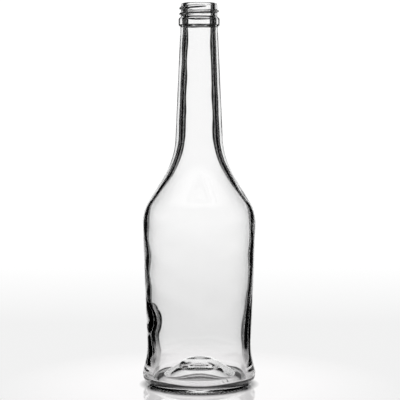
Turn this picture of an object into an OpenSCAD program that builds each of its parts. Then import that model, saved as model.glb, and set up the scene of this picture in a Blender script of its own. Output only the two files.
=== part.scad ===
// Screw-neck glass bottle, about half a litre, moulded in one piece of clear glass.
// The origin is on the bottle's axis in the plane that it stands on, and +Z points to the mouth.

/* [Body] */
// Height from the bearing ring to the top of the lip
bottle_h = 265.6; // [250:0.1:300]
// Diameter where the lines of body and shoulder would meet, before rounding
shoulder_d = 79.3; // [76:0.1:84]
// Height of that meeting line
shoulder_z = 121; // [100:0.5:128]
// Radius that rounds the body into the shoulder
shoulder_round = 29.5; // [10:0.5:45]
// Diameter of the waist above the heel, before rounding
waist_d = 72.0; // [66:0.1:76]
// Height of the waist
waist_z = 22; // [15:0.5:30]
// Radius that rounds the waist
waist_round = 52; // [20:1:70]
// Diameter of the heel
heel_d = 78.8; // [74:0.1:84]
// Height of the heel's upper edge, where the base mould meets the body mould
heel_z = 8.5; // [7:0.1:13]
// Radius that rounds the heel's upper edge
heel_top_round = 5; // [1:0.5:10]
// Height at which the heel starts to turn in to the bearing ring
heel_low = 5; // [4:0.1:6]
// Inset at which that turn meets the plane of the bearing ring
heel_in = 4.5; // [3:0.1:5.5]
// Radius that rounds both corners of the turn
heel_round = 6; // [3:0.1:7.5]

/* [Neck] */
// Diameter where the lines of shoulder and neck would meet, before rounding
neck_root_d = 34.1; // [30:0.1:40]
// Height of that meeting line
neck_root_z = 158; // [145:0.5:175]
// Radius that rounds the shoulder into the neck
neck_root_round = 55; // [20:1:70]
// Diameter at the top of the neck, just under the bead
neck_top_d = 25.7; // [24.5:0.1:27.5]

/* [Finish] */
// Diameter of the wall that carries the thread
finish_d = 25.0; // [24:0.1:26]
// Diameter over the thread
thread_d = 27.4; // [26.5:0.1:28]
// Rise of the thread in one turn
thread_pitch = 3.8; // [3:0.1:4.2]
// Number of turns of the thread
thread_turns = 1.8; // [1:0.01:2.2]
// Depth of the thread's upper end below the lip
thread_start = 2.3; // [1.8:0.1:3.5]
// Width of the thread at its foot
thread_foot = 2.3; // [1.6:0.1:2.8]
// Width of the thread at its crest
thread_crest = 0.9; // [0.4:0.1:1.4]
// Turn over which each end of the thread fades out, in degrees
thread_fade = 40; // [20:1:80]
// Diameter of the bead under the thread
bead_d = 28.3; // [27.8:0.1:30]
// Height of the bead
bead_h = 7.2; // [5:0.1:9]
// Depth of the bead's upper edge below the lip
bead_drop = 9.2; // [8.5:0.1:12]
// Height of the slope at the bead's top and bottom
bead_slope = 1.3; // [0.6:0.1:2]
// Radius that rounds the lip's outer edge
lip_round = 1.1; // [0.3:0.1:1.6]
// Radius that rounds the lip's inner edge
mouth_round = 0.6; // [0.2:0.1:0.9]

/* [Inside] */
// Diameter of the bore in the mouth
bore_d = 18.8; // [17:0.1:20]
// Length of the straight bore
bore_len = 30; // [20:1:60]
// Inside diameter at the root of the neck, before rounding
neck_root_bore_d = 24.6; // [21:0.1:28]
// Thickness of the shoulder and body wall, measured square to the axis
body_wall = 2.8; // [2:0.1:4.5]
// Thickness of the wall at the waist
waist_wall = 2.9; // [2:0.1:5]
// Thickness of the wall at the heel
heel_wall = 4.9; // [4:0.1:7]
// Thickness of the glass at the middle of the base
base_wall = 7.7; // [4:0.1:10]
// Thickness of the glass over the foot of the push-up
foot_wall = 3.0; // [2:0.1:7]
// Radius that rounds the inner corner at the heel
floor_round = 4.5; // [1:0.1:5.5]

/* [Base] */
// Height of the push-up in the middle of the base
pushup_h = 10; // [4:0.1:14]
// Diameter of the push-up's crown, before rounding
crown_d = 20; // [12:0.5:34]
// Radius that rounds the crown
crown_round = 21; // [4:0.5:21]
// Diameter of the foot of the push-up, before rounding
foot_d = 55; // [46:0.5:57]
// Rise of the base at the foot of the push-up
foot_rise = 1.2; // [0.5:0.1:3]
// Radius that rounds the foot of the push-up
foot_round = 9; // [3:0.5:14]
// Inner diameter of the bearing ring
ring_d = 61; // [58:0.1:64]
// Number of grooves in the knurled outer edge of the bearing ring
knurl_n = 70; // [24:1:80]
// Depth of the grooves
knurl_depth = 0.5; // [0.2:0.05:0.8]
// Radius of the groove's round bottom
knurl_r = 1.1; // [0.6:0.05:1.3]
// Width of the plain inner band of the bearing ring
ring_band = 1; // [0.5:0.1:1.4]
// Number of raised mould dots round the base
dot_n = 5; // [1:1:9]
// Angle from one dot to the next
dot_pitch = 9; // [6:1:20]
// Diameter of the circle of dots
dot_ring_d = 50; // [40:0.5:52]
// Radius of a dot
dot_r = 0.9; // [0.5:0.1:1.2]
// Part of its radius by which a dot stands out of the base
dot_out = 0.45; // [0.3:0.05:0.7]

/* [Hidden] */
$fn = 96;
glass = [0.86, 0.90, 0.90, 0.45];
// Largest turn between two points of a rounded corner, in degrees
arc_step = 6;
// Share of a side that one rounded corner may take up
side_share = 0.49;
// Turn between two sections of the thread, in degrees
thread_step = 12;
// Depth by which the thread's foot is buried in the wall
thread_bury = 0.35;
// Part of its full width that the thread keeps at its ends
thread_taper = 0.5;
// Direction in which the upper end of the thread lies
thread_dir = 300;
// Direction of the first mould dot
dot_dir = 285;

bead_top = bottle_h - bead_drop;
bead_bottom = bead_top - bead_h;
bore_bottom = bottle_h - bore_len;
floor_h = pushup_h + base_wall;
floor_z = foot_rise + foot_wall;
thread_rise = (thread_d - finish_d) / 2;

// The same turn, kept within half a turn either way
function half_turn(a) = a > 180 ? a - 360 : a < -180 ? a + 360 : a;
function unit(v) = v / norm(v);

// Points along the arc of radius r that rounds corner b between its neighbours a and c
function corner(a, b, c, r) =
    let (
        u = unit(a - b),
        v = unit(c - b),
        half = acos(u * v) / 2,
        reach = min(r / tan(half), side_share * norm(a - b), side_share * norm(c - b)),
        radius = reach * tan(half),
        middle = b + unit(u + v) * radius / sin(half),
        first = b + u * reach - middle,
        last = b + v * reach - middle,
        start = atan2(first.y, first.x),
        sweep = half_turn(atan2(last.y, last.x) - start),
        steps = ceil(abs(sweep) / arc_step)
    )
    [for (k = [0 : steps]) middle + radius * [cos(start + sweep * k / steps), sin(start + sweep * k / steps)]];

// An outline through corners given as [radius from the axis, height, rounding]
function rounded(p) = [
    for (i = [0 : len(p) - 1])
        let (here = [p[i].x, p[i].y])
        each i == 0 || i == len(p) - 1 || p[i].z == 0
            ? [here]
            : corner([p[i - 1].x, p[i - 1].y], here, [p[i + 1].x, p[i + 1].y], p[i].z)
];

// Base, from the middle of the push-up out to the bearing ring
base_line = [
    [0, pushup_h, 0],
    [crown_d / 2, pushup_h, crown_round],
    [foot_d / 2, foot_rise, foot_round],
    [ring_d / 2, 0, 0]
];

// Outside, from the heel up to the lip
outer_line = [
    [heel_d / 2 - heel_in, 0, heel_round],
    [heel_d / 2, heel_low, heel_round],
    [heel_d / 2, heel_z, heel_top_round],
    [waist_d / 2, waist_z, waist_round],
    [shoulder_d / 2, shoulder_z, shoulder_round],
    [neck_root_d / 2, neck_root_z, neck_root_round],
    [neck_top_d / 2, bead_bottom, 0.5],
    [bead_d / 2, bead_bottom + bead_slope, 1],
    [bead_d / 2, bead_top - bead_slope, 1],
    [finish_d / 2, bead_top, 0.5],
    [finish_d / 2, bottle_h, lip_round]
];

// Inside, from the mouth down to the middle of the cavity's floor
inner_line = [
    [bore_d / 2, bottle_h, mouth_round],
    [bore_d / 2, bore_bottom, 8],
    [neck_root_bore_d / 2, neck_root_z, neck_root_round + body_wall],
    [shoulder_d / 2 - body_wall, shoulder_z, shoulder_round - body_wall],
    [waist_d / 2 - waist_wall, waist_z, waist_round + waist_wall],
    [heel_d / 2 - heel_wall, floor_z, floor_round],
    [foot_d / 2, floor_z, foot_round],
    [crown_d / 2, floor_h, crown_round],
    [0, floor_h, 0]
];

module glass_body() {
    rotate_extrude() polygon(rounded(concat(base_line, outer_line, inner_line)));
}

// Cross-section of the thread, standing out by rise, at the given share of its full width
function thread_section(rise, share) =
    let (foot = thread_foot * share / 2, crest = thread_crest * share / 2)
    [
        [-thread_bury, -foot],
        [max(0, rise) * 0.8, -crest - (foot - crest) * 0.25],
        [rise, -crest],
        [rise, crest],
        [max(0, rise) * 0.8, crest + (foot - crest) * 0.25],
        [-thread_bury, foot]
    ];

module thread() {
    turn = 360 * thread_turns;
    steps = ceil(turn / thread_step);
    sides = 6;
    points = [
        for (i = [0 : steps])
            let (
                a = turn * i / steps,
                fade = min(1, a / thread_fade, (turn - a) / thread_fade),
                rise = -thread_bury / 2 + (thread_rise + thread_bury / 2) * sin(90 * fade),
                share = thread_taper + (1 - thread_taper) * sin(90 * fade),
                z = bottle_h - thread_start - thread_pitch * a / 360
            )
            for (q = thread_section(rise, share))
                [
                    (finish_d / 2 + q.x) * cos(thread_dir - a),
                    (finish_d / 2 + q.x) * sin(thread_dir - a),
                    z + q.y
                ]
    ];
    walls = [
        for (i = [0 : steps - 1], k = [0 : sides - 1])
            let (
                a = sides * i + k,
                b = sides * i + (k + 1) % sides,
                c = a + sides,
                d = b + sides
            )
            each [[a, b, d], [a, d, c]]
    ];
    ends = [[for (k = [sides - 1 : -1 : 0]) k], [for (k = [0 : sides - 1]) sides * steps + k]];
    polyhedron(points, concat(walls, ends));
}

// Round-bottomed grooves that leave a knurled edge outside the plain band of the bearing ring
module knurl() {
    for (i = [0 : knurl_n - 1])
        rotate([0, 0, 360 * i / knurl_n])
            translate([ring_d / 2 + ring_band, 0, knurl_depth - knurl_r])
                rotate([0, 90, 0])
                    cylinder(r = knurl_r, h = heel_round + ring_band);
}

// Raised dots under the base, as a mould leaves them
module mould_dots() {
    slope = (pushup_h - foot_rise) / (foot_d / 2 - crown_d / 2);
    z = foot_rise + slope * (foot_d / 2 - dot_ring_d / 2);
    for (i = [0 : dot_n - 1])
        rotate([0, 0, dot_dir + dot_pitch * i])
            translate([dot_ring_d / 2, 0, z + dot_r * (1 - dot_out)])
                sphere(r = dot_r);
}

module bottle() {
    color(glass)
        difference() {
            union() {
                glass_body();
                thread();
                mould_dots();
            }
            knurl();
        }
}

bottle();
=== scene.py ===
"""A clear glass screw-neck bottle on a pale table, seen against a bright field."""
import math

import bpy
import numpy as np
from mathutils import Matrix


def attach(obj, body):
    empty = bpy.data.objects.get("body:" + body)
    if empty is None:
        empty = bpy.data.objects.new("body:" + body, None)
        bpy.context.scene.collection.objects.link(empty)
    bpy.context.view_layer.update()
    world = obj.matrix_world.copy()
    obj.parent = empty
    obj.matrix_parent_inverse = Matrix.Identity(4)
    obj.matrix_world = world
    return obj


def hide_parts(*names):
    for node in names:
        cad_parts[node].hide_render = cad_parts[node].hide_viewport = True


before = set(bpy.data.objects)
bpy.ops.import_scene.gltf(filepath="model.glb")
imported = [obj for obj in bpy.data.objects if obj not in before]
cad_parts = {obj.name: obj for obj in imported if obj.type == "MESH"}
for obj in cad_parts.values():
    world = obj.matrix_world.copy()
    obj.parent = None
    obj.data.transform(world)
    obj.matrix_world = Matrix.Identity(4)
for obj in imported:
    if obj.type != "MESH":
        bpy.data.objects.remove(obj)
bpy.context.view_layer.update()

MM = 0.001

# Body, in millimetres as on the bottle's drawing
BOTTLE_H = 265.6
SHOULDER_R, SHOULDER_Z, SHOULDER_ROUND = 39.65, 121.0, 29.5
WAIST_R, WAIST_Z, WAIST_ROUND = 36.0, 22.0, 52.0
HEEL_R, HEEL_Z, HEEL_TOP_ROUND = 39.4, 8.5, 5.0
HEEL_LOW, HEEL_IN, HEEL_ROUND = 5.0, 4.5, 6.0

# Neck and finish
NECK_ROOT_R, NECK_ROOT_Z, NECK_ROOT_ROUND = 17.05, 158.0, 55.0
NECK_TOP_R = 12.85
FINISH_R, THREAD_R = 12.5, 13.7
THREAD_PITCH, THREAD_TURNS, THREAD_START = 3.8, 1.8, 2.3
THREAD_FOOT, THREAD_CREST = 2.3, 0.7
THREAD_FADE, THREAD_DIR = 40.0, 300.0
BEAD_R, BEAD_H, BEAD_DROP, BEAD_SLOPE = 14.15, 7.2, 9.2, 1.3
BEAD_FILLET, BEAD_ROUND = 0.5, 1.0
LIP_ROUND, MOUTH_ROUND = 1.1, 0.6

# Part of its full width that the thread keeps at its ends, and how deep its foot sits in the wall
THREAD_TAPER, THREAD_SINK = 0.6, 0.02

# Inside
BORE_R, BORE_LEN, BORE_BLEND = 9.4, 30.0, 400.0
NECK_ROOT_BORE_R = 12.3
BODY_WALL, WAIST_WALL, HEEL_WALL = 2.8, 2.9, 4.9
BASE_WALL, FOOT_WALL, FLOOR_ROUND = 7.7, 3.0, 4.5

# Depth in the mouth at which the rings of the outside hand over to those of the inside
MOUTH_DEPTH = 3.0

# Base
PUSHUP_H, CROWN_R, CROWN_ROUND = 10.0, 10.0, 21.0
FOOT_R, FOOT_RISE, FOOT_ROUND = 27.5, 1.2, 9.0
RING_R, RING_BAND = 30.5, 1.0
KNURL_N, KNURL_DEPTH, KNURL_R = 70, 0.5, 1.1
DOT_N, DOT_PITCH, DOT_RING_R, DOT_R, DOT_OUT = 5, 9.0, 25.0, 0.9, 0.45
DOT_DIR = 285.0

# Parts of the plain band's width at which the grooves start and over which they reach their depth,
# and how far under the ring they come from
KNURL_START, KNURL_GROWTH, KNURL_UNDER = 0.6, 0.8, 1.0

# Height of the mould seams, their width in degrees, and the depth below the lip where they end
SEAM_RISE, SEAM_WIDTH, SEAM_END = 0.09, 0.28, 1.5

# Heights of the waves in the outside and in the inside
RIPPLE_OUT, SKIN_OUT = 0.03, 0.006
RIPPLE_IN, DRIFT_IN = 0.05, 0.1

# The inside's ripple is the outside's, turned by an angle in radians and squeezed in height
RIPPLE_TURN, RIPPLE_SQUEEZE = 1.3, 1.1

# Height up to which outside and inside have no waves, the height over which these grow,
# and the height over which they fade out again below the bead or the mouth
OUTSIDE_CALM, OUTSIDE_GROWTH, BEAD_FADE = 8.0, 12.0, 6.0
INSIDE_CALM, INSIDE_GROWTH, MOUTH_FADE = 12.0, 12.0, 10.0

# Lumps of settled glass: thickness, direction and width in degrees, height, and spread in height
LUMPS = (
    (2.3, 180, 34, 47, 8),
    (1.5, 180, 44, 25, 16),
    (0.8, 0, 30, 42, 18),
)

# Fineness of the mesh: points of a ring, its extra points beside a seam, and turn along an arc
SIDES = 280
BESIDE_SEAM = (0.15, 0.3, 0.55)
ARC_TURN = 3.0

# Largest distance between two rings
KNURL_STEP, DOT_STEP, DOME_STEP = 0.35, 0.28, 1.0
FINISH_STEP, NECK_STEP, BODY_STEP, INSIDE_STEP = 0.22, 1.6, 1.1, 1.3

# How far the fine rings reach beside the dots' circle, below the bead and above the neck's root
DOT_MARGIN, BEAD_MARGIN, ROOT_MARGIN = 1.2, 1.0, 12.0

# Share of a side that one rounded corner may take up, and a distance that counts as none
SIDE_SHARE, TOUCH = 0.49, 0.001

# Glass, with the faint orange peel of its skin, and the light that it lets through into its shadow
GLASS_IOR = 1.52
PEEL_SCALE, PEEL_DETAIL, PEEL_STRENGTH, PEEL_DEPTH = 110.0, 2.0, 0.003, 0.001
SHADOW_LIGHT = 0.9

# Camera, in metres and degrees, from the curves that rim and base draw in the photograph
CAMERA_BACK, CAMERA_UP, CAMERA_SIDE = 0.913, 0.1857, 0.00062
CAMERA_DOWN = 3.53
FOCAL_PX, FRAME_PX, SENSOR_MM = 1311.0, 400.0, 36.0

# Table, in metres: it fades out from near to far, and has a painted shadow in a soft ring under the
# heel
TABLE_R, TABLE_SIDES, TABLE_DROP = 0.14, 96, 0.0001
TABLE_NEAR, TABLE_FAR = 0.07, 0.14
TABLE_GLOW, TABLE_TINT = 0.9, (1, 0.985, 0.99, 1)
TABLE_IOR, TABLE_ROUGH = 1.7, 0.08
SHADE_IN, SHADE_OUT, SHADE_SOFT = 0.0285, 0.0425, 0.005

# Bright window in a dark wall, in metres: it brightens upwards from its low line
WALL_BACK, WALL_HALF = 1.0, 2.6
WINDOW_HALF, WINDOW_SOFT = 0.36, 0.04
WINDOW_LOW, WINDOW_RISE = -0.18, 0.15
WINDOW_DIM, WINDOW_BRIGHT, WALL_GLOW = 0.88, 1.1, 0.004

WHITE = (1, 1, 1, 1)
ROOM_GREY, ROOM_GLOW = (0.9, 0.9, 0.9, 1), 0.02

bead_top = BOTTLE_H - BEAD_DROP
bead_bottom = bead_top - BEAD_H
mouth_end = BOTTLE_H - MOUTH_DEPTH
floor_h = PUSHUP_H + BASE_WALL
floor_z = FOOT_RISE + FOOT_WALL


# Outline of the glass

def corner(a, b, c, radius):
    """Points along the arc that rounds corner b between its neighbours a and c."""
    to_a, to_c = a - b, c - b
    len_a, len_c = np.linalg.norm(to_a), np.linalg.norm(to_c)
    to_a, to_c = to_a / len_a, to_c / len_c
    half = math.acos(float(to_a @ to_c)) / 2
    reach = min(radius / math.tan(half), SIDE_SHARE * len_a, SIDE_SHARE * len_c)
    radius = reach * math.tan(half)
    bisector = to_a + to_c
    middle = b + bisector / np.linalg.norm(bisector) * radius / math.sin(half)
    first, last = b + to_a * reach - middle, b + to_c * reach - middle
    start = math.atan2(first[1], first[0])
    sweep = (math.atan2(last[1], last[0]) - start + math.pi) % (2 * math.pi) - math.pi
    steps = max(2, math.ceil(abs(math.degrees(sweep)) / ARC_TURN))
    angles = start + sweep * np.arange(steps + 1) / steps
    return middle + radius * np.stack([np.cos(angles), np.sin(angles)], axis=1)


def outline(points):
    """The line through corners given as (radius, height, rounding), with its corners rounded."""
    flat = [np.array(p[:2]) for p in points]
    line = [flat[0][None]]
    for i in range(1, len(points) - 1):
        if points[i][2]:
            line.append(corner(flat[i - 1], flat[i], flat[i + 1], points[i][2]))
        else:
            line.append(flat[i][None])
    line.append(flat[-1][None])
    return np.concatenate(line)


def spaced(line, step):
    """The same line with points no further apart than step, which depends on the place."""
    out = [line[:1]]
    for a, b in zip(line, line[1:]):
        n = max(1, math.ceil(np.linalg.norm(b - a) / step((a + b) / 2)))
        out.append(a + (b - a) * (np.arange(1, n + 1) / n)[:, None])
    return np.concatenate(out)


# From the middle of the push-up out to the bearing ring, up the outside and over the lip
shell_line = outline([
    (0, PUSHUP_H, 0),
    (CROWN_R, PUSHUP_H, CROWN_ROUND),
    (FOOT_R, FOOT_RISE, FOOT_ROUND),
    (RING_R, 0, 0),
    (HEEL_R - HEEL_IN, 0, HEEL_ROUND),
    (HEEL_R, HEEL_LOW, HEEL_ROUND),
    (HEEL_R, HEEL_Z, HEEL_TOP_ROUND),
    (WAIST_R, WAIST_Z, WAIST_ROUND),
    (SHOULDER_R, SHOULDER_Z, SHOULDER_ROUND),
    (NECK_ROOT_R, NECK_ROOT_Z, NECK_ROOT_ROUND),
    (NECK_TOP_R, bead_bottom, BEAD_FILLET),
    (BEAD_R, bead_bottom + BEAD_SLOPE, BEAD_ROUND),
    (BEAD_R, bead_top - BEAD_SLOPE, BEAD_ROUND),
    (FINISH_R, bead_top, BEAD_FILLET),
    (FINISH_R, BOTTLE_H, LIP_ROUND),
    (BORE_R, BOTTLE_H, MOUTH_ROUND),
    (BORE_R, mouth_end, 0),
])

# The base's rings are finer round the bottle, up to the first point at the heel's full radius
side_start = np.argmax(shell_line[:, 0] > HEEL_R - TOUCH)
base_line, outer_line = shell_line[:side_start + 1], shell_line[side_start:]

# From the mouth down to the middle of the floor
inner_line = outline([
    (BORE_R, mouth_end, 0),
    (BORE_R, BOTTLE_H - BORE_LEN, BORE_BLEND),
    (NECK_ROOT_BORE_R, NECK_ROOT_Z, NECK_ROOT_ROUND + BODY_WALL),
    (SHOULDER_R - BODY_WALL, SHOULDER_Z, SHOULDER_ROUND - BODY_WALL),
    (WAIST_R - WAIST_WALL, WAIST_Z, WAIST_ROUND + WAIST_WALL),
    (HEEL_R - HEEL_WALL, floor_z, FLOOR_ROUND),
    (FOOT_R, floor_z, FOOT_ROUND),
    (CROWN_R, floor_h, CROWN_ROUND),
    (0, floor_h, 0),
])


# What blowing and moulding leave in the glass, with angles in degrees unless it says otherwise

def smooth(x):
    """A soft step from 0 to 1 as x goes from 0 to 1."""
    x = np.clip(x, 0, 1)
    return x * x * (3 - 2 * x)


def waves(seed, turns, lengths, count):
    """A smooth random field over angle, in radians, and height, which closes round the bottle."""
    rng = np.random.default_rng(seed)
    round_about = rng.integers(turns[0], turns[1] + 1, count)
    along = 2 * math.pi / rng.uniform(lengths[0], lengths[1], count)
    along *= rng.choice([-1, 1], count)
    phase = rng.uniform(0, 2 * math.pi, count)
    weight = 1 / math.sqrt(2 * count)

    def field(angle, z):
        return weight * sum(np.cos(n * angle + k * z + p) for n, k, p in zip(round_about, along, phase))
    return field


ripple = waves(seed=11, turns=(2, 7), lengths=(14, 40), count=14)
drift = waves(seed=23, turns=(1, 3), lengths=(60, 160), count=8)
skin = waves(seed=5, turns=(5, 16), lengths=(6, 18), count=18)


def outside_share(z):
    """How much of its waves the outside has at a height: none at the heel and the bead."""
    return smooth((z - OUTSIDE_CALM) / OUTSIDE_GROWTH) * smooth((bead_bottom - z) / BEAD_FADE)


def inside_share(z):
    """How much of its waves the inside has at a height: none at the floor and the mouth."""
    return smooth((z - INSIDE_CALM) / INSIDE_GROWTH) * smooth((mouth_end - z) / MOUTH_FADE)


def settled(angle, z):
    """Extra thickness where the glass settled unevenly on the inside, more on the left."""
    extra = 0
    for thickness, towards, width, height, spread in LUMPS:
        off = (angle - towards + 180) % 360 - 180
        extra = extra + thickness * np.exp(-(off / width) ** 2 - ((z - height) / spread) ** 2)
    return extra


def seam(angle):
    """The fine ridge of the two mould joints, on the bottle's left and right."""
    off = (angle + 90) % 180 - 90
    return SEAM_RISE * np.exp(-(off / SEAM_WIDTH) ** 2)


def thread_rise(angle, z):
    """How far the thread stands out of the finish at these angles and this height."""
    rise = np.zeros_like(angle)
    total = 360 * THREAD_TURNS
    for lap in range(math.ceil(THREAD_TURNS)):
        turned = (THREAD_DIR - angle) % 360 + 360 * lap
        middle = BOTTLE_H - THREAD_START - THREAD_PITCH * turned / 360
        end = smooth(np.minimum(turned, total - turned) / THREAD_FADE)
        width = THREAD_TAPER + (1 - THREAD_TAPER) * end
        foot, crest = THREAD_FOOT / 2 * width, THREAD_CREST / 2 * width
        flank = smooth((foot - np.abs(z - middle)) / (foot - crest))
        rise = np.maximum(rise, flank * end)
    return rise * (THREAD_R - FINISH_R)


def knurled(r, angle, z):
    """The height of the lower surface, with the knurl's grooves cut up into it."""
    pitch = 360 / KNURL_N
    across = r * np.radians((angle + pitch / 2) % pitch - pitch / 2)
    groove = KNURL_DEPTH - KNURL_R + np.sqrt(np.maximum(0, KNURL_R ** 2 - across ** 2))
    started = smooth((r - RING_R - RING_BAND * KNURL_START) / (RING_BAND * KNURL_GROWTH))
    return np.maximum(z, groove * started - KNURL_UNDER * (1 - started))


def dotted(r, angle, z):
    """The height of the lower surface, with the mould's raised dots standing down from it."""
    slope = (PUSHUP_H - FOOT_RISE) / (FOOT_R - CROWN_R)
    seat = FOOT_RISE + slope * (FOOT_R - DOT_RING_R)
    for i in range(DOT_N):
        around = math.radians(DOT_DIR + DOT_PITCH * i)
        x = r * np.cos(np.radians(angle)) - DOT_RING_R * math.cos(around)
        y = r * np.sin(np.radians(angle)) - DOT_RING_R * math.sin(around)
        inside = DOT_R ** 2 - x ** 2 - y ** 2
        ball = seat + DOT_R * (1 - DOT_OUT) - np.sqrt(np.maximum(0, inside))
        z = np.where(inside > 0, np.minimum(z, ball), z)
    return z


# The glass as one closed mesh of rings

def ring_angles():
    """Angles of a ring's points, with extra ones beside the mould seams."""
    even = np.arange(SIDES) * 360 / SIDES
    beside = np.array(BESIDE_SEAM)
    beside = np.concatenate([-beside, beside])
    return np.sort(np.concatenate([even, beside % 360, beside + 180]))


def fine_angles():
    """The same angles with another one halfway to each next."""
    coarse = ring_angles()
    nexts = np.append(coarse[1:], 360.0)
    return np.sort(np.concatenate([coarse, (coarse + nexts) / 2]))


def ring_points(angle, r, z):
    a = np.radians(angle)
    return np.stack([r * np.cos(a), r * np.sin(a), z + 0 * a], axis=1)


def base_ring(r, z):
    angle = fine_angles()
    return ring_points(angle, r, dotted(r, angle, knurled(r, angle, z)))


def outer_ring(r, z):
    angle = ring_angles()
    outside = r > (BORE_R + FINISH_R) / 2
    if outside and z < BOTTLE_H - LIP_ROUND:
        r = np.maximum(r, FINISH_R + thread_rise(angle, z) - THREAD_SINK)
    if outside and z < BOTTLE_H - SEAM_END:
        a = np.radians(angle)
        uneven = RIPPLE_OUT * ripple(a, z) + SKIN_OUT * skin(a, z)
        r = r + seam(angle) + outside_share(z) * uneven
    return ring_points(angle, r, z)


def inner_ring(r, z):
    angle = ring_angles()
    a = np.radians(angle)
    uneven = RIPPLE_IN * ripple(a + RIPPLE_TURN, z * RIPPLE_SQUEEZE) + DRIFT_IN * drift(a, z)
    return ring_points(angle, r + inside_share(z) * uneven - settled(angle, z), z)


def base_step(p):
    r = p[0]
    if r > RING_R:
        return KNURL_STEP
    return DOT_STEP if abs(r - DOT_RING_R) < DOT_MARGIN else DOME_STEP


def outer_step(p):
    z = p[1]
    if z > bead_bottom - BEAD_MARGIN:
        return FINISH_STEP
    return NECK_STEP if z > NECK_ROOT_Z + ROOT_MARGIN else BODY_STEP


def bottle_rings():
    """All rings from the push-up round to the floor, without the two points on the axis."""
    rings = [base_ring(*p) for p in spaced(base_line, base_step)[1:]]
    rings += [outer_ring(*p) for p in spaced(outer_line, outer_step)[1:]]
    rings += [inner_ring(*p) for p in spaced(inner_line, lambda p: INSIDE_STEP)[1:-1]]
    return rings


def band(a, b, count_a, count_b):
    """Faces between the rings that start at points a and b, the second as fine or half as fine."""
    k = np.arange(count_b)
    nexts = (k + 1) % count_b
    if count_a == count_b:
        return np.stack([a + k, a + nexts, b + nexts, b + k], axis=1).tolist()
    here, halfway, there = a + 2 * k, a + 2 * k + 1, a + 2 * nexts
    corners = [here, halfway, b + k, halfway, b + nexts, b + k, halfway, there, b + nexts]
    return np.stack(corners, axis=1).reshape(-1, 3).tolist()


def lathe(name, rings, first, last):
    """A closed mesh through rings of points, ending in a point on the axis at either end."""
    counts = [len(ring) for ring in rings]
    starts = np.cumsum([0] + counts)
    first_tip, last_tip = starts[-1], starts[-1] + 1
    faces = [(first_tip, (k + 1) % counts[0], k) for k in range(counts[0])]
    for i in range(len(rings) - 1):
        faces += band(starts[i], starts[i + 1], counts[i], counts[i + 1])
    faces += [(last_tip, starts[-2] + k, starts[-2] + (k + 1) % counts[-1]) for k in range(counts[-1])]
    mesh = bpy.data.meshes.new(name)
    mesh.from_pydata((np.concatenate([*rings, [first], [last]]) * MM).tolist(), [], faces)
    mesh.polygons.foreach_set("use_smooth", [True] * len(mesh.polygons))
    mesh.update()
    obj = bpy.data.objects.new(name, mesh)
    bpy.context.scene.collection.objects.link(obj)
    return obj


# Shader graphs

class Net:
    """A node tree that is written as expressions."""

    def __init__(self, tree):
        self.tree = tree
        tree.nodes.clear()

    def node(self, kind, settings=None, **inputs):
        """A node with its settings set first, and then the values or links of its sockets."""
        made = self.tree.nodes.new(kind)
        for key, value in (settings or {}).items():
            setattr(made, key, value)
        for key, value in inputs.items():
            self.feed(made, key, value)
        return made

    def feed(self, made, key, value):
        """Feeds a socket, named with _ for a space, or with _ and its number."""
        socket = made.inputs[int(key[1:]) if key[1:].isdigit() else key.replace("_", " ")]
        if isinstance(value, Wire):
            self.tree.links.new(value.socket, socket)
        elif isinstance(value, bpy.types.NodeSocket):
            self.tree.links.new(value, socket)
        else:
            socket.default_value = value

    def wire(self, kind, settings=None, out=0, **inputs):
        return Wire(self, self.node(kind, settings, **inputs).outputs[out])


class Wire:
    """A value socket that adds a Math node for each operator."""

    def __init__(self, net, socket):
        self.net, self.socket = net, socket

    def math(self, operation, a, b, clamp=False):
        return self.net.wire("ShaderNodeMath", {"operation": operation, "use_clamp": clamp}, _0=a, _1=b)

    def __add__(self, other):
        return self.math("ADD", self, other)

    def __sub__(self, other):
        return self.math("SUBTRACT", self, other)

    def __rsub__(self, other):
        return self.math("SUBTRACT", other, self)

    def __mul__(self, other):
        return self.math("MULTIPLY", self, other)

    def __truediv__(self, other):
        return self.math("DIVIDE", self, other)

    def __abs__(self):
        return self.net.wire("ShaderNodeMath", {"operation": "ABSOLUTE"}, _0=self)

    __radd__ = __add__
    __rmul__ = __mul__

    def clamped(self):
        return self.math("ADD", self, 0.0, clamp=True)

    def maximum(self, other):
        return self.math("MAXIMUM", self, other)


def material(name):
    made = bpy.data.materials.new(name)
    made.use_nodes = True
    return made, Net(made.node_tree)


def clear_glass():
    """Colourless glass with a faint orange peel, which lets most light through into its shadow."""
    made, net = material("clear_glass")
    at = net.node("ShaderNodeTexCoord").outputs["Object"]
    peel = net.wire("ShaderNodeTexNoise", Vector=at, Scale=PEEL_SCALE, Detail=PEEL_DETAIL)
    bump = net.node("ShaderNodeBump", Height=peel, Strength=PEEL_STRENGTH, Distance=PEEL_DEPTH)
    glass = net.node(
        "ShaderNodeBsdfPrincipled",
        Base_Color=WHITE,
        Transmission_Weight=1.0,
        IOR=GLASS_IOR,
        Roughness=0.0,
        Normal=bump.outputs[0],
    )
    clear = net.node("ShaderNodeBsdfTransparent")
    shadow = net.wire("ShaderNodeLightPath", out="Is Shadow Ray")
    both = net.node(
        "ShaderNodeMixShader",
        _0=shadow * SHADOW_LIGHT,
        _1=glass.outputs[0],
        _2=clear.outputs[0],
    )
    net.node("ShaderNodeOutputMaterial", Surface=both.outputs[0])
    return made


# Stage

def stage_mesh(name, points, faces, mat):
    mesh = bpy.data.meshes.new(name)
    mesh.from_pydata(points, [], faces)
    mesh.materials.append(mat)
    obj = bpy.data.objects.new(name, mesh)
    bpy.context.scene.collection.objects.link(obj)
    return obj


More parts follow.
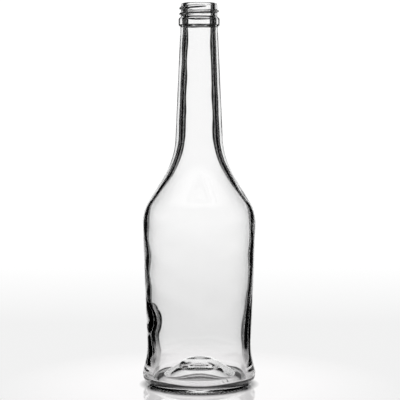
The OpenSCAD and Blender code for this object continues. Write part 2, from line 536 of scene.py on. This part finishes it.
def table_material():
    """White acrylic that glows about as brightly as the window and mirrors what stands on it, with a
    painted shadow that dims its glow in a ring under the heel.
    """
    made, net = material("pale_table")
    at = net.node("ShaderNodeTexCoord").outputs["Object"]
    away = net.wire("ShaderNodeVectorMath", {"operation": "LENGTH"}, out="Value", _0=at)
    far = ((away - TABLE_NEAR) / (TABLE_FAR - TABLE_NEAR)).clamped()
    # painted shadow: the glow is turned down in a soft ring under the heel, standing in for the
    # bottle's contact shadow
    shade = ((away - SHADE_IN) / SHADE_SOFT).clamped() * ((SHADE_OUT - away) / SHADE_SOFT).clamped()
    glow = net.node("ShaderNodeEmission", Color=TABLE_TINT, Strength=TABLE_GLOW * (1 - shade))
    polish = net.node("ShaderNodeBsdfGlossy", Color=WHITE, Roughness=TABLE_ROUGH)
    mirror = net.wire("ShaderNodeFresnel", IOR=TABLE_IOR)
    both = net.node("ShaderNodeMixShader", _0=mirror, _1=glow.outputs[0], _2=polish.outputs[0])
    open_air = net.node("ShaderNodeBsdfTransparent")
    rim = net.node("ShaderNodeMixShader", _0=far, _1=both.outputs[0], _2=open_air.outputs[0])
    net.node("ShaderNodeOutputMaterial", Surface=rim.outputs[0])
    return made


def wall_material():
    """A bright window in a dark wall, a little less bright towards its foot."""
    made, net = material("bright_window")
    at = net.node("ShaderNodeTexCoord").outputs["Object"]
    split = net.node("ShaderNodeSeparateXYZ", Vector=at)
    x, y = Wire(net, split.outputs[0]), Wire(net, split.outputs[1])
    edge = ((WINDOW_HALF + WINDOW_SOFT / 2 - abs(x).maximum(abs(y))) / WINDOW_SOFT).clamped()
    up = ((y - WINDOW_LOW) / WINDOW_RISE).clamped()
    window = WINDOW_DIM + (WINDOW_BRIGHT - WINDOW_DIM) * up
    glow = net.node("ShaderNodeEmission", Color=WHITE, Strength=edge * window + WALL_GLOW)
    net.node("ShaderNodeOutputMaterial", Surface=glow.outputs[0])
    return made


def make_camera():
    data = bpy.data.cameras.new("camera")
    data.sensor_width = SENSOR_MM
    data.lens = FOCAL_PX / FRAME_PX * SENSOR_MM
    camera = bpy.data.objects.new("camera", data)
    bpy.context.scene.collection.objects.link(camera)
    camera.location = (CAMERA_SIDE, -CAMERA_BACK, CAMERA_UP)
    camera.rotation_euler = (math.radians(90 - CAMERA_DOWN), 0, 0)
    bpy.context.scene.camera = camera
    return camera


def make_table():
    turns = [2 * math.pi * k / TABLE_SIDES for k in range(TABLE_SIDES)]
    rim = [(TABLE_R * math.cos(t), TABLE_R * math.sin(t), -TABLE_DROP) for t in turns]
    stage_mesh("table", rim, [range(TABLE_SIDES)], table_material())


def make_wall(camera):
    """The wall behind the bottle, square to the camera and moving with it."""
    w = WALL_HALF
    rim = [(-w, -w, 0), (w, -w, 0), (w, w, 0), (-w, w, 0)]
    wall = stage_mesh("bright_window", rim, [(0, 1, 2, 3)], wall_material())
    wall.parent = camera
    wall.location = (0, 0, -CAMERA_BACK - WALL_BACK)


def make_room():
    world = bpy.data.worlds.new("soft_room")
    bpy.context.scene.world = world
    world.use_nodes = True
    net = Net(world.node_tree)
    room = net.node("ShaderNodeBackground", Color=ROOM_GREY, Strength=ROOM_GLOW)
    net.node("ShaderNodeOutputWorld", Surface=room.outputs[0])


camera = make_camera()
bottle = lathe("glass_bottle", bottle_rings(), (0, 0, PUSHUP_H), (0, 0, floor_h))
bottle.data.materials.append(clear_glass())
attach(bottle, "root")
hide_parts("bottle")
make_table()
make_wall(camera)
make_room()

bpy.context.scene.view_settings.view_transform = "Standard"
